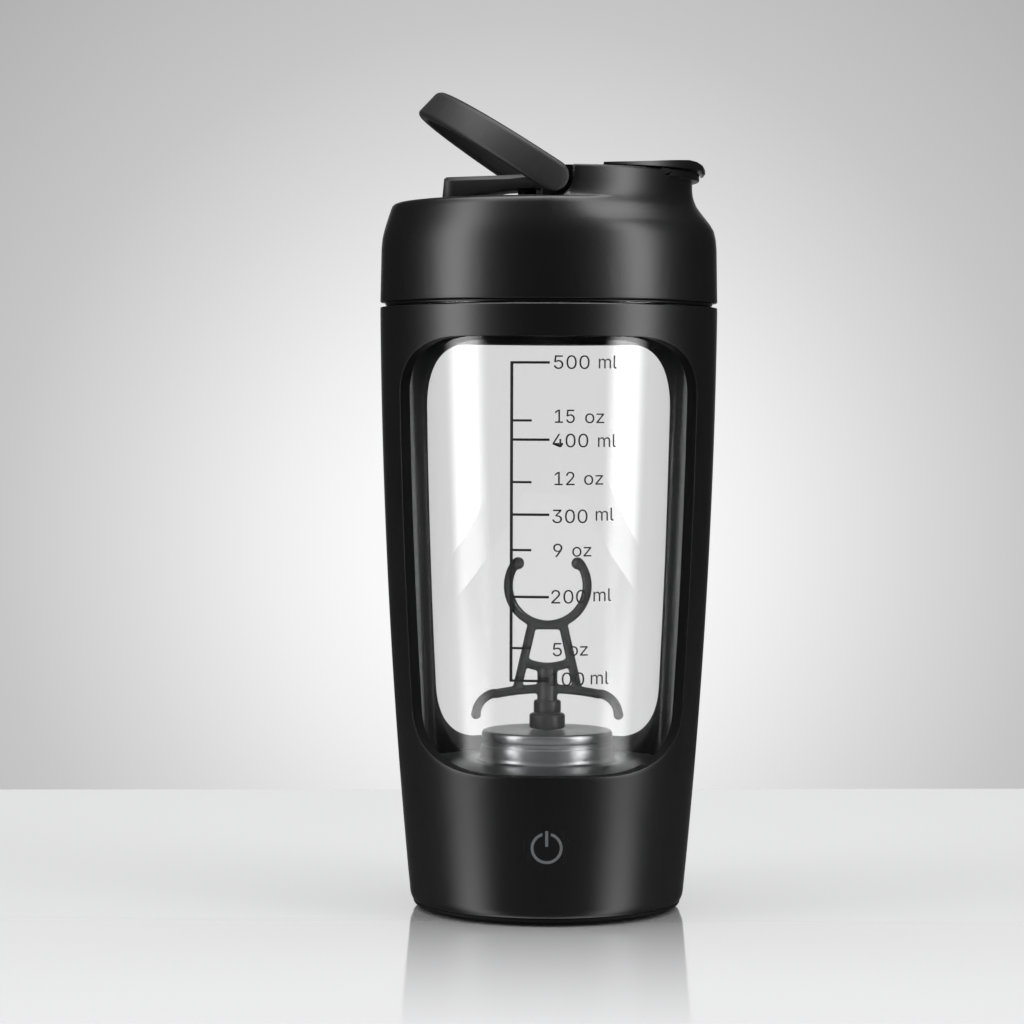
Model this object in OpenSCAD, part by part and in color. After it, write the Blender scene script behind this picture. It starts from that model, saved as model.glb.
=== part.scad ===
// Rechargeable shaker bottle. Millimetres, +Z up, origin at the centre of the underside.
// The drinking side is +X, the power button faces -Y.

/* [Overall] */
// Diameter at the seam between shell and lid
body_diameter = 92; // [86:1:98]
// Diameter of the shell just above its rounded foot
base_diameter = 75; // [72:1:80]
// Height of the shell rim above the table
shell_height = 163.9; // [150:1:180]
// Wall of the outer shell
shell_wall = 3; // [2.4:0.2:3.4]

/* [Windows] */
// Half angle of the front window
front_half_angle = 60; // [45:0.5:64]
// Half angle of the rear window
rear_half_angle = 59; // [45:0.5:64]
// Height of the sill of the front window
window_bottom = 40; // [39:0.5:50]
// Distance from the head of the front window to the shell rim
window_head = 8.5; // [7:0.5:16]
// Height of the rounded window corners
window_corner = 15; // [6:0.5:18]

/* [Cup] */
// Wall of the clear cup
cup_wall = 2; // [1.6:0.1:2.2]
// Height of the threaded neck above the shell rim
neck_height = 20.1; // [18:0.5:21]
// Pitch of the lid thread
thread_pitch = 6; // [5:0.5:6.5]
// Turns of thread engaged
thread_turns = 1.6; // [1:0.1:1.8]

/* [Lid] */
// Height of the flat deck above the shell rim
deck_height = 28.4; // [27.4:0.5:30.4]
// Height of the tower rim above the deck
tower_height = 8.1; // [7.1:0.2:8.7]
// Radius of the drinking hole
drink_radius = 9; // [6:0.5:9.5]
// Distance of the drinking hole's centre from the outer face of the lid
drink_inset = 20; // [19.5:0.5:21.5]
// Angle that the carry loop is raised above the deck
loop_angle = 33; // [0:0.5:50]
// Height of the loop strap
loop_height = 8.4; // [7:0.2:9]
// Thickness of the loop strap
loop_thickness = 3.5; // [2.6:0.1:3.8]
// Length of the vent flap from its hinge
flap_length = 30; // [22:0.5:30]
// Width of the vent flap
flap_width = 20; // [14:1:21]

/* [Motor dome and stirrer] */
// Radius of the motor dome
dome_radius = 18; // [17.6:0.2:19]
// Height of the motor dome above the floor plate
dome_height = 9.1; // [8.1:0.5:10.1]
// Radius of the open ring of the stirrer
ring_radius = 10.8; // [8:0.2:12]
// Reach of the drooping arms from the axis
arm_reach = 20.1; // [16:0.5:24]
// Thickness of the stirrer bars
bar_diameter = 2.6; // [2:0.1:3]

/* [Base and power] */
// Height of the power button
button_height = 21.3; // [19:0.5:22.5]
// Diameter of the power button
button_diameter = 13; // [10:0.5:14]
// Diameter of a battery cell
cell_diameter = 16; // [13:0.5:16.5]
// Length of a battery cell
cell_length = 28; // [22:1:29]
// Diameter of the motor
motor_diameter = 24.4; // [20:0.2:25]

/* [Hidden] */
$fn = 96;
e = 0.01;

top_r = body_diameter / 2;
rim_z = shell_height;
foot_z = 2.2;
knee_z = 4.6;
slope = 0.00963;
curve = (top_r - base_diameter / 2 - slope * (rim_z - knee_z)) / pow(rim_z - knee_z, 2);
function wall_r(z) = top_r - slope * (rim_z - z) - curve * pow(rim_z - z, 2);
foot_r = wall_r(knee_z) - 0.8;

// base
base_r = base_diameter / 2;
cover_top = 4.2;
holder_z = 35;
post_ring = base_r - 8;
tread_out = base_r - 4.3;
tread_in = base_r - 10;
button_r = wall_r(button_height);
board_y = base_r - 13.5;
switch_y = button_r - 11.845;
port_z = 12.4;

// cup
cup_base_z = 36.8;
cup_low_r = wall_r(38) - shell_wall - 0.45;
cup_high_r = wall_r(160) - shell_wall - 0.75;
function cup_r(z) = cup_low_r + (cup_high_r - cup_low_r) * (z - 38) / (rim_z - 42);
neck_r = top_r - 6.5;
neck_in = neck_r - 1.9;
neck_top = rim_z + neck_height;
flange_r = top_r - 2.1;
flange_top = rim_z + 1.1;
floor_z = cup_base_z + 1.7;
plate_z = floor_z + 0.4;
plate_top = plate_z + 0.8;
plate_r = cup_r(plate_z) - cup_wall - 0.2;
dome_top = plate_top + dome_height;

// lid
lid_bottom = rim_z + 1.3;
deck_z = rim_z + deck_height;
rim_top = deck_z + tower_height;
tower_r = top_r - 7;
pivot_x = 1;
pivot_z = rim_top - 3.1;
recess_r = loop_height / 2 + 1.1;
block_half = top_r - 10;
loop_out = top_r - 5.5;
pin_r = 2.2;
fit = 0.06;
cap_x = top_r - 33.5;
drink_offset = top_r - drink_inset;
cap_z = rim_top + 0.6;
barrel_r = 1.6;
bore_r = neck_r + 1.7;
liner_r = top_r - 3.1;
liner_plate = neck_top + 0.4;
liner_top = liner_plate + 2;
liner_low = rim_z + 2.3;
chimney_r = drink_radius + 1.8;
vent_x = -6.1;
vent_r = 2.45;

// motor
can_top = dome_top - 2.9;
can_r = motor_diameter / 2;
can_low = can_top - 31;
cell_x = (can_r + 2 + base_r - shell_wall) / 2;

// stirrer
block_z = dome_top + 0.4;
block_top = block_z + 4.2;
collar_z = block_top + 0.2;
hub_z = collar_z + 3.6;
arms_z = dome_top + 10.9;
ring_z = dome_top + 39.8;
bar_r = bar_diameter / 2;

module tube(r_out, r_in, h) {
  difference() {
    cylinder(r = r_out, h = h);
    translate([0, 0, -e]) cylinder(r = r_in, h = h + 2 * e);
  }
}

module rod_y(r, y0, y1) {
  translate([0, y0, 0]) rotate([-90, 0, 0]) cylinder(r = r, h = y1 - y0);
}

module bar(a, b, r) {
  d = b - a;
  translate(a) rotate([0, acos(d[2] / norm(d)), atan2(d[1], d[0])]) cylinder(r = r, h = norm(d));
}

// ---- outer shell ----
// half angle, head, sill, then width and height of the upper and the lower corners
front_window = [front_half_angle, window_head, window_bottom, 30, window_corner, 38, window_corner];
rear_window = [rear_half_angle, window_head - 2, window_bottom + 3.2, 26, window_corner + 4,
  26, window_corner];

function win_pt(r, c, t, k, side) =
  let (w = k < 2 ? c[3] : c[5],
       h = k < 2 ? c[4] : c[6],
       lo = c[2] - 0.2 * (r - top_r) + h,
       hi = rim_z - c[1] + 0.2 * (r - top_r) - h,
       sx = (k == 0 || k == 3) ? 1 : -1,
       a = side + sx * (c[0] - w) + w * cos(t),
       z = (k < 2 ? hi : lo) + h * sin(t))
  [r * sin(a), -r * cos(a), z];

function win_ring(r, c, side, n) = [for (k = [0:3]) for (i = [0:(k % 2 == 0 ? 2 * n - 1 : n)])
  i <= n ? win_pt(r, c, 90 * k + 90 * i / n, k, side)
    : let (p = win_pt(r, c, 90 * k + 90, k, side),
           w = (c[0] - (k == 0 ? c[3] : c[5])) * (1 - 2 * (i - n) / n),
           a = side + (k == 0 ? w : -w))
      [r * sin(a), -r * cos(a), p[2]]];

module window(c, side) {
  n = 12;
  ring_in = win_ring(34, c, side, n);
  ring_out = win_ring(56, c, side, n);
  m = len(ring_in);
  mid = (c[2] + rim_z) / 2;
  points = concat(ring_in, ring_out,
    [[34 * sin(side), -34 * cos(side), mid], [56 * sin(side), -56 * cos(side), mid]]);
  faces = concat(
    [for (i = [0:m - 1]) [i, m + (i + 1) % m, (i + 1) % m]],
    [for (i = [0:m - 1]) [i, m + i, m + (i + 1) % m]],
    [for (i = [0:m - 1]) [2 * m, i, (i + 1) % m]],
    [for (i = [0:m - 1]) [2 * m + 1, m + (i + 1) % m, m + i]]);
  polyhedron(points, faces);
}

module port_shape(grow, y0, y1) {
  for (s = [-1, 1]) translate([s * 3.6, 0, port_z]) rod_y(3.2 + grow, y0, y1);
  translate([-3.6, y0, port_z - 3.2 - grow]) cube([7.2, y1 - y0, 6.4 + 2 * grow]);
}

module outer_shell() {
  n = 26;
  color([0.06, 0.06, 0.065]) difference() {
    rotate_extrude() polygon(concat(
      [[foot_r - 2.2, foot_z], [foot_r, foot_z], [foot_r + 0.4, 3], [foot_r + 0.65, 3.7]],
      [for (i = [0:n]) let (z = knee_z + (rim_z - knee_z) * i / n) [wall_r(z), z]],
      [for (i = [n:-1:0]) let (z = knee_z + (rim_z - knee_z) * i / n)
        [wall_r(z) - shell_wall, z]]));
    window(front_window, 0);
    window(rear_window, 180);
    translate([0, 0, button_height]) rod_y(button_diameter / 2 + 0.3, -60, -20);
    port_shape(0.15, 20, 60);
  }
  color([0.06, 0.06, 0.065]) translate([0, 0, holder_z - 2.5])
    tube(wall_r(holder_z - 2.5) - 1, base_r - 4.5, 2.5);
}

// ---- cup ----
module thread_rib(r_root, r_crest, z0, turns) {
  n = round(turns * 30);
  k = function (i) min(1, min(i, n - i) / 4);
  rc = function (i) r_root + (r_crest - r_root) * (0.15 + 0.85 * k(i));
  points = [for (i = [0:n]) let (a = 12 * i, z = z0 + thread_pitch * i / 30)
    for (p = [[r_root, -1.2], [rc(i), -0.5], [rc(i), 0.5], [r_root, 1.2]])
      [p[0] * cos(a), p[0] * sin(a), z + p[1]]];
  sides = r_crest > r_root ? [3, 2, 1, 0] : [0, 1, 2, 3];
  faces = concat([for (i = [0:n - 1]) for (j = [0:3])
    [4 * i + sides[j], 4 * i + 4 + sides[j], 4 * i + 4 + sides[(j + 1) % 4]]],
    [for (i = [0:n - 1]) for (j = [0:3])
    [4 * i + sides[j], 4 * i + 4 + sides[(j + 1) % 4], 4 * i + sides[(j + 1) % 4]]],
    [[sides[0], sides[1], sides[2]], [sides[0], sides[2], sides[3]]],
    [[4 * n + sides[2], 4 * n + sides[1], 4 * n + sides[0]],
     [4 * n + sides[3], 4 * n + sides[2], 4 * n + sides[0]]]);
  polyhedron(points, faces);
}

module clear_cup() {
  color([0.85, 0.92, 0.95, 0.35]) union() {
    rotate_extrude() polygon([
      [base_r - 6.5, cup_base_z], [cup_r(cup_base_z), cup_base_z], [cup_high_r, rim_z - 4],
      [cup_high_r, rim_z], [flange_r, rim_z], [flange_r, flange_top],
      [neck_r, flange_top], [neck_r, neck_top - 0.5], [neck_r - 0.5, neck_top],
      [neck_in + 0.5, neck_top], [neck_in, neck_top - 0.5],
      [neck_in, rim_z - 0.2], [cup_high_r - cup_wall - 0.4, rim_z - 4],
      [cup_r(floor_z) - cup_wall, floor_z], [base_r - 6.5, floor_z]]);
    thread_rib(neck_r - 0.3, neck_r + 1.4, rim_z + 6.6, thread_turns);
  }
}

module scale_box(x0, x1, z, w) {
  translate([x0, -60, z - w / 2]) cube([x1 - x0, 40, w]);
}

module scale_marks() {
  scale_box(-9.95, -9.15, (64.9 + 148.9) / 2, 148.9 - 64.9);
  for (z = [148.6, 128.5, 108.9, 87.3, 65.2]) scale_box(-9.7, 0.35, z, 0.65);
  for (z = [133.5, 117.4, 99.6, 73.8]) scale_box(-9.7, -4.3, z, 0.6);
}

module skin(grow_in, grow_out) {
  rotate_extrude() polygon([
    [cup_r(50) - grow_in, 50], [cup_r(50) + grow_out, 50],
    [cup_r(159) + grow_out, 159], [cup_r(159) - grow_in, 159]]);
}

module scale_print() {
  color([0.05, 0.05, 0.05]) intersection() {
    skin(0, 0.06);
    scale_marks();
  }
}

// ---- floor and drive ----
module floor_plate() {
  t = 0.8;
  r = dome_radius;
  g = plate_top + dome_height * 0.72;
  b = plate_top + dome_height * 0.55;
  color([0.78, 0.78, 0.8]) rotate_extrude() polygon([
    [2.2, dome_top], [r - 1.1, dome_top], [r - 0.3, dome_top - 0.25], [r - 0.05, dome_top - 0.9],
    [r, g + 0.15], [r - 0.15, g], [r - 0.1, b + 0.2], [r + 0.15, b], [r + 0.3, plate_top + 2],
    [r + 0.5, plate_top + 1.3], [r + 1.3, plate_top + 0.7], [plate_r, plate_top], [plate_r, plate_z],
    [r + 0.4, plate_z], [r - t, plate_z + 1], [r - t - 0.1, b - 0.2], [r - t - 0.3, g],
    [r - t - 0.3, dome_top - 1.6], [r - 1.9, dome_top - t], [2.2, dome_top - t]]);
}

module floor_gasket() {
  color([0.2, 0.2, 0.2]) translate([0, 0, floor_z])
    tube(plate_r - 0.4, base_r - 6.1, plate_z - floor_z);
}

module dome_gasket() {
  color([0.2, 0.2, 0.2]) difference() {
    translate([0, 0, can_top + 1.6]) tube(12, 5, 0.5);
    for (s = [-1, 1]) translate([s * 8, 0, can_top]) cylinder(r = 2.2, h = 4);
  }
}

module shaft_seal() {
  color([0.15, 0.15, 0.15]) difference() {
    union() {
      translate([0, 0, can_top + 1.6]) cylinder(r = 4.2, h = 0.5);
      translate([0, 0, can_top + 1.6]) cylinder(r = 2.2, h = dome_top - can_top - 1.6);
    }
    translate([0, 0, can_top]) cylinder(r = 1 + fit, h = 6);
  }
}

module motor_holder() {
  color([0.16, 0.16, 0.17]) difference() {
    union() {
      translate([0, 0, holder_z]) cylinder(r = base_r - 3.5, h = cup_base_z - holder_z);
      translate([0, 0, 14]) cylinder(r = can_r + 2, h = can_top + 1.6 - 14);
      for (a = [45:90:315]) rotate([0, 0, a]) translate([post_ring, 0, cover_top])
        cylinder(r = 2.8, h = holder_z - cover_top + 1);
    }
    translate([0, 0, 13]) cylinder(r = can_r + 0.1, h = can_top - 13);
    cylinder(r = 3.2, h = 80);
    for (s = [-1, 1]) translate([s * 8, 0, can_top - 1]) cylinder(r = 1.05, h = 4);
    for (a = [45:90:315]) rotate([0, 0, a]) translate([post_ring, 0, 0]) cylinder(r = 0.95, h = 13);
  }
}

module motor_can() {
  color([0.6, 0.6, 0.62]) difference() {
    union() {
      translate([0, 0, can_low]) cylinder(r = can_r, h = can_top - can_low);
      translate([0, 0, can_top - 1]) cylinder(r = 3, h = 2.4);
      translate([0, 0, can_low - 1.6]) cylinder(r = 3.5, h = 2);
      for (s = [-1, 1]) translate([s * 8 - 0.4, -1.2, can_low - 3.4]) cube([0.8, 2.4, 4]);
    }
    translate([0, 0, can_top - 8]) cylinder(r = 1 + fit, h = 20);
    for (s = [-1, 1]) translate([s * 8, 0, can_top - 3]) cylinder(r = 0.8, h = 4);
  }
}

module motor_screws() {
  color([0.7, 0.7, 0.72]) for (s = [-1, 1]) translate([s * 8, 0, 0]) difference() {
    union() {
      translate([0, 0, can_top + 1.6]) cylinder(r = 1.9, h = 0.45);
      translate([0, 0, can_top - 2.8]) cylinder(r = 0.8, h = 4.5);
    }
    translate([-0.2, -1.2, can_top + 1.85]) cube([0.4, 2.4, 1]);
  }
}

module battery_cells() {
  color([0.1, 0.3, 0.55]) for (s = [-1, 1]) translate([s * cell_x, 0, cover_top]) {
    cylinder(d = cell_diameter, h = cell_length);
    translate([0, 0, cell_length - e]) cylinder(r = 2.6, h = 0.8);
  }
}

module control_board() {
  color([0.05, 0.3, 0.15]) translate([-12, board_y, cover_top]) cube([24, 1.2, 24]);
  color([0.05, 0.05, 0.05]) translate([-9, board_y - 1, 20]) cube([5, 1.01, 5]);
  color([0.5, 0.4, 0.2]) translate([3, board_y - 1, 19]) cube([4, 1.01, 2.2]);
}

module charge_socket() {
  color([0.75, 0.75, 0.76]) difference() {
    union() {
      for (s = [-1, 1]) translate([s * 2.9, 0, port_z]) rod_y(1.6, board_y + 1.2, board_y + 8.6);
      translate([-2.9, board_y + 1.2, port_z - 1.6]) cube([5.8, 7.4, 3.2]);
    }
    for (s = [-1, 1]) translate([s * 2.9, 0, port_z]) rod_y(1.25, board_y + 2, board_y + 9);
    translate([-2.9, board_y + 2, port_z - 1.25]) cube([5.8, 7, 2.5]);
  }
}

module switch_board() {
  color([0.05, 0.3, 0.15]) translate([-9, -switch_y, cover_top]) cube([18, 1.2, 24]);
}

module push_switch() {
  color([0.3, 0.3, 0.3]) translate([-3, -switch_y - 2.6, button_height - 3]) cube([6, 2.6, 6]);
  color([0.1, 0.1, 0.1]) translate([0, 0, button_height])
    rod_y(1.6, -switch_y - 3.6, -switch_y - 2.5);
}

module base_cover() {
  color([0.045, 0.045, 0.05]) difference() {
    union() {
      rotate_extrude() polygon([[0, 0.5], [foot_r - 2.5, 0.5], [foot_r - 1, 0.7], [foot_r - 0.2, 1.4],
        [foot_r, foot_z], [foot_r - 2.8, foot_z], [foot_r - 2.8, cover_top], [0, cover_top]]);
      for (s = [-1, 1]) translate([s * 10.6 - 0.8, -switch_y - 1.2, cover_top - e])
        cube([1.6, 3.6, 5]);
      for (s = [-1, 1]) translate([s * 13.6 - 0.8, board_y - 1.2, cover_top - e])
        cube([1.6, 3.6, 5]);
    }
    translate([0, 0, -1]) tube(tread_out, tread_in, 1.9);
    for (a = [45:90:315]) rotate([0, 0, a]) translate([post_ring, 0, 0]) {
      translate([0, 0, -1]) cylinder(r = 1.4, h = 7);
      translate([0, 0, -1]) cylinder(r = 2.5, h = 3.2);
    }
  }
}

module base_screws() {
  color([0.7, 0.7, 0.72]) for (a = [45:90:315]) rotate([0, 0, a]) translate([post_ring, 0, 0])
    difference() {
      union() {
        translate([0, 0, 1.2]) cylinder(r = 2.2, h = 1);
        translate([0, 0, 2]) cylinder(r = 0.95, h = 8);
      }
      for (q = [0, 90]) rotate([0, 0, q]) translate([-1.3, -0.25, 0.5]) cube([2.6, 0.5, 1.2]);
    }
}

module foot_ring() {
  color([0.1, 0.1, 0.1]) difference() {
    tube(tread_out - 0.1, tread_in + 0.1, 0.9);
    for (a = [45:90:315]) rotate([0, 0, a]) translate([post_ring, 0, -1]) cylinder(r = 2.6, h = 3);
  }
}

// ---- lid ----
module lid_outer() {
  r = top_r;
  d = deck_z;
  rotate_extrude() polygon([[0, lid_bottom], [r, lid_bottom], [r - 0.15, d - 21.3],
    [r - 0.3, d - 12.5], [r - 0.55, d - 9.8], [r - 1.05, d - 7.6], [r - 1.6, d - 5.7],
    [r - 2.25, d - 3.7], [r - 2.75, d - 2.2], [r - 3.15, d - 1.1], [r - 3.7, d - 0.55],
    [r - 4.5, d - 0.25], [r - 5.8, d - 0.08], [r - 7.5, d], [0, d]]);
}

module tower_outer() {
  r = top_r;
  t = tower_r;
  d = deck_z;
  rotate_extrude() polygon([[0, lid_bottom], [r, lid_bottom], [r - 0.15, d - 21.3],
    [r - 0.3, d - 12.5], [r - 0.55, d - 9.8], [r - 1.05, d - 7.6], [r - 2.15, d - 5.7],
    [r - 3.75, d - 3.7], [r - 4.9, d - 2.2], [r - 5.7, d - 1.1], [t + 0.65, d + 0.4],
    [t + 0.2, d + 2], [t, d + 4.2], [t, rim_top - 0.4], [t - 0.4, rim_top], [0, rim_top]]);
}

module lid_shell() {
  r = top_r;
  color([0.06, 0.06, 0.065]) difference() {
    union() {
      intersection() {
        lid_outer();
        translate([-60, -60, 0]) cube([60 + pivot_x, 120, 300]);
      }
      // skirt over the flange of the cup
      translate([0, 0, rim_z + 0.4]) tube(r - 1.4, r - 1.8, 2);
      difference() {
        union() {
          intersection() {
            tower_outer();
            translate([pivot_x, -60, 0]) cube([60, 120, 300]);
          }
          intersection() {
            tower_outer();
            translate([-2, -block_half, deck_z - 5]) cube([20, 2 * block_half, 20]);
          }
          intersection() {
            translate([7.2, 0, rim_top - 2.2]) cylinder(r = top_r - 12.3, h = 2.2);
            translate([20, -40, deck_z]) cube([40, 80, 20]);
          }
        }
        // thumb scoop
        difference() {
          translate([top_r + 2.5, 0, rim_top - 4.4]) rod_y(9.7, -20, 20);
          translate([20, -40, rim_top - 2.2]) cube([40, 80, 20]);
        }
      }
      // lugs of the cap hinge
      for (s = [-1, 1]) translate([cap_x, 0, cap_z]) rod_y(1.4, s > 0 ? 8.2 : -11, s > 0 ? 11 : -8.2);
      for (s = [-1, 1]) translate([cap_x - 1.4, s > 0 ? 8.2 : -11, cap_z - 2]) cube([2.8, 2.8, 2]);
    }
    // space for the liner
    rotate_extrude() polygon([[0, lid_bottom - 1], [r - 2.8, lid_bottom - 1],
      [r - 2.9, deck_z - 12], [r - 4.6, deck_z - 6.1], [r - 6.6, deck_z - 2.6], [0, deck_z - 2.6]]);
    // hollow of the tower
    intersection() {
      translate([0, 0, deck_z - 4]) cylinder(r = tower_r - 2.6, h = tower_height + 1.4);
      translate([cap_x - 3.7, -60, deck_z - 4]) cube([top_r - 21.5, 120, tower_height + 1.4]);
    }
    // pockets of the loop ends
    for (s = [-1, 1]) {
      translate([pivot_x, 0, pivot_z]) rod_y(recess_r, s > 0 ? block_half : -60, s > 0 ? 60 : -block_half);
      translate([pivot_x - 8, s > 0 ? block_half : -60, pivot_z])
        cube([8 + recess_r, 60 - block_half, 20]);
    }
    // pocket of the vent flap
    translate([pivot_x - 14, -flap_width / 2 - 0.4, deck_z + 0.6])
      cube([17.2, flap_width + 0.8, 20]);
    translate([pivot_x, 0, pivot_z]) rod_y(3.4, -flap_width / 2 - 0.4, flap_width / 2 + 0.4);
    // bores
    translate([pivot_x, 0, pivot_z]) rod_y(0.9, -flap_width / 2 - 4, flap_width / 2 + 4);
    for (s = [-1, 1]) translate([pivot_x, 0, pivot_z])
      rod_y(pin_r, s > 0 ? block_half - 5 : -block_half - 1, s > 0 ? block_half + 1 : 5 - block_half);
    translate([cap_x, 0, cap_z]) rod_y(0.8, -12, 12);
    translate([cap_x, 0, cap_z]) rod_y(barrel_r + 0.3, -8.2, 8.2);
    translate([drink_offset, 0, 0]) cylinder(r = drink_radius, h = 400);
    translate([vent_x, 0, 0]) cylinder(r = vent_r + 0.6, h = 400);
  }
  // spout channel and vent channel
  color([0.06, 0.06, 0.065]) translate([drink_offset, 0, liner_top])
    tube(chimney_r, drink_radius, rim_top - 1.5 - liner_top);
  color([0.06, 0.06, 0.065]) translate([vent_x, 0, liner_top])
    tube(vent_r + 2, vent_r + 0.6, deck_z - 1.5 - liner_top);
}

module lid_liner() {
  color([0.2, 0.2, 0.21]) union() {
    difference() {
      rotate_extrude() polygon([[bore_r, liner_low], [liner_r, liner_low],
        [liner_r - 0.1, deck_z - 12], [top_r - 5.1, liner_top], [0, liner_top],
        [0, liner_plate], [neck_in - 1.5, liner_plate], [neck_in - 1.5, liner_plate + 0.8],
        [bore_r, liner_plate + 0.8]]);
      translate([drink_offset, 0, 0]) cylinder(r = drink_radius, h = 400);
      translate([vent_x, 0, 0]) cylinder(r = vent_r + 0.6, h = 400);
    }
    thread_rib(bore_r + 0.3, neck_r + 0.5, rim_z + 3.7, thread_turns);
  }
}

module lid_gasket() {
  color([0.85, 0.85, 0.85]) translate([0, 0, neck_top])
    tube(bore_r - 0.1, neck_in - 1.4, liner_plate + 0.8 - neck_top);
}

module loop_pins() {
  color([0.6, 0.6, 0.62]) for (s = [-1, 1]) translate([pivot_x, 0, pivot_z])
    rod_y(pin_r, s > 0 ? block_half - 5 : -block_half - 2.8, s > 0 ? block_half + 2.8 : 5 - block_half);
}

module cap_pin() {
  color([0.6, 0.6, 0.62]) translate([cap_x, 0, cap_z]) rod_y(0.8, -11, 11);
}

module flap_pin() {
  color([0.6, 0.6, 0.62]) translate([pivot_x, 0, pivot_z])
    rod_y(0.9, -flap_width / 2 - 3.9, flap_width / 2 + 3.9);
}

// ---- moving pieces of the lid ----
module carry_loop() {
  h = loop_height / 2;
  ro = loop_out;
  ri = loop_out - loop_thickness;
  c = 0.8;
  color([0.07, 0.07, 0.075]) translate([pivot_x, 0, pivot_z]) rotate([0, loop_angle, 0])
    difference() {
      intersection() {
        translate([-pivot_x, 0, 0]) rotate_extrude() polygon([
          [ri, -h + c], [ri + c, -h], [ro - c, -h], [ro, -h + c],
          [ro - 1.3, h - c], [ro - 1.3 - c, h], [ri + c, h], [ri, h - c]]);
        union() {
          translate([-60, -60, -h]) cube([60, 120, 2 * h]);
          rod_y(h, -60, 60);
        }
      }
      rod_y(pin_r + fit, -block_half - 2.9, block_half + 2.9);
    }
}

module flip_cap() {
  b = rim_top + 0.3;
  x1 = cap_x + 1.8;
  color([0.06, 0.06, 0.065]) difference() {
    union() {
      intersection() {
        translate([0, 60, 0]) rotate([90, 0, 0]) linear_extrude(120) polygon([
          [x1, b], [x1, b + 0.6], [cap_x + 9, b + 0.9], [cap_x + 15, b + 1.3],
          [cap_x + 20, b + 1.8], [cap_x + 25, b + 2.3], [cap_x + 27.2, b + 2.1],
          [cap_x + 28.9, b + 1.5], [cap_x + 30, b + 0.4], [cap_x + 30, b - 0.3],
          [cap_x + 29.6, b - 0.8], [cap_x + 29.2, b - 0.8], [cap_x + 28.9, b]]);
        translate([cap_x - 3.6, 0, b - 5]) cylinder(r = 33.6, h = 20);
      }
      translate([cap_x, 0, cap_z]) rod_y(barrel_r, -8, 8);
      translate([cap_x, -8, cap_z - 0.3]) cube([3, 16, 1.2]);
    }
    translate([cap_x, 0, cap_z]) rod_y(0.8 + fit, -9, 9);
    translate([drink_offset, 0, b - 1]) cylinder(r = drink_radius - 2.5, h = 1.6);
  }
}

module cap_plug() {
  b = rim_top + 0.3;
  p = drink_radius;
  color([0.3, 0.3, 0.31]) translate([drink_offset, 0, 0]) rotate_extrude() polygon([
    [0, b - 4.3], [p - 1.8, b - 4.3], [p - 1.2, b - 3.7], [p - 0.35, b - 0.2], [p - 0.35, b],
    [p - 2.5, b], [p - 2.5, b + 0.6], [0, b + 0.6]]);
}

module vent_flap() {
  w = flap_width / 2;
  p = [pivot_x, pivot_z];
  xl = pivot_x - flap_length;
  color([0.07, 0.07, 0.075]) difference() {
    union() {
      intersection() {
        translate([0, w, 0]) rotate([90, 0, 0]) linear_extrude(2 * w) polygon([
          [xl, deck_z + 0.3], [xl + 0.6, deck_z + 6.1], [xl + 1.4, deck_z + 6.6],
          [pivot_x - 12, deck_z + 7.2], [pivot_x - 3, deck_z + 7.7], [pivot_x, deck_z + 7.6],
          [pivot_x, deck_z + 2.9], [pivot_x - 5, deck_z + 3.8], [pivot_x - 12, deck_z + 3.4],
          [xl + 4, deck_z + 1.3], [xl + 3.4, deck_z + 0.3]]);
        union() {
          for (s = [-1, 1]) translate([xl + 3, s * (w - 3), 0]) cylinder(r = 3, h = 400);
          translate([xl, 3 - w, 0]) cube([40, 2 * w - 6, 400]);
          translate([xl + 3, -w, 0]) cube([40, 2 * w, 400]);
        }
      }
      translate([p[0], 0, p[1]]) rod_y(2.6, -w, w);
      // seat of the plug
      translate([vent_x, 0, deck_z + 2.2]) cylinder(r = vent_r, h = 2.4);
    }
    translate([p[0], 0, p[1]]) rod_y(0.9 + fit, -w - 1, w + 1);
  }
}

module vent_plug() {
  color([0.3, 0.3, 0.31]) translate([vent_x, 0, 0]) rotate_extrude() polygon([
    [0, deck_z - 1.2], [vent_r - 0.9, deck_z - 1.2], [vent_r - 0.3, deck_z - 0.4],
    [vent_r, deck_z + 0.4], [vent_r, deck_z + 2.2], [0, deck_z + 2.2]]);
}

// ---- button ----
module icon_shape() {
  difference() {
    rod_y(4.2, -60, -20);
    rod_y(3.45, -61, -19);
    translate([-1.1, -61, 0]) cube([2.2, 42, 6]);
  }
  translate([-0.4, -60, 0.4]) cube([0.8, 40, 4.2]);
}

module button_body(grow) {
  z0 = button_height - 9;
  rotate_extrude() polygon(concat([[0, z0 + 18], [0, z0]],
    [for (i = [0:5]) [wall_r(z0 + 3.6 * i) + grow, z0 + 3.6 * i]]));
}

module power_button() {
  zc = button_height;
  r = button_diameter / 2;
  back = wall_r(zc) - shell_wall;
  seat = sqrt(pow(wall_r(zc - 4) - shell_wall, 2) - pow(r + 0.1, 2)) - 0.12;
  color([0.06, 0.06, 0.065]) union() {
    intersection() {
      button_body(0);
      translate([0, 0, zc]) rod_y(r, -60, -seat + 0.6);
    }
    translate([0, 0, zc]) rod_y(r + 1.1, -seat, -seat + 1.2);
    translate([0, 0, zc]) rod_y(2.4, -seat + 1, 7.345 - button_r);
  }
}

module button_icon() {
  color([0.45, 0.45, 0.46]) intersection() {
    difference() {
      button_body(0.06);
      button_body(0);
    }
    translate([0, 0, button_height]) icon_shape();
  }
}

// ---- rotor and stirrer ----
module motor_shaft() {
  color([0.7, 0.7, 0.72]) translate([0, 0, can_top - 6]) cylinder(r = 1, h = block_z + 8 - can_top + 6);
}

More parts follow.
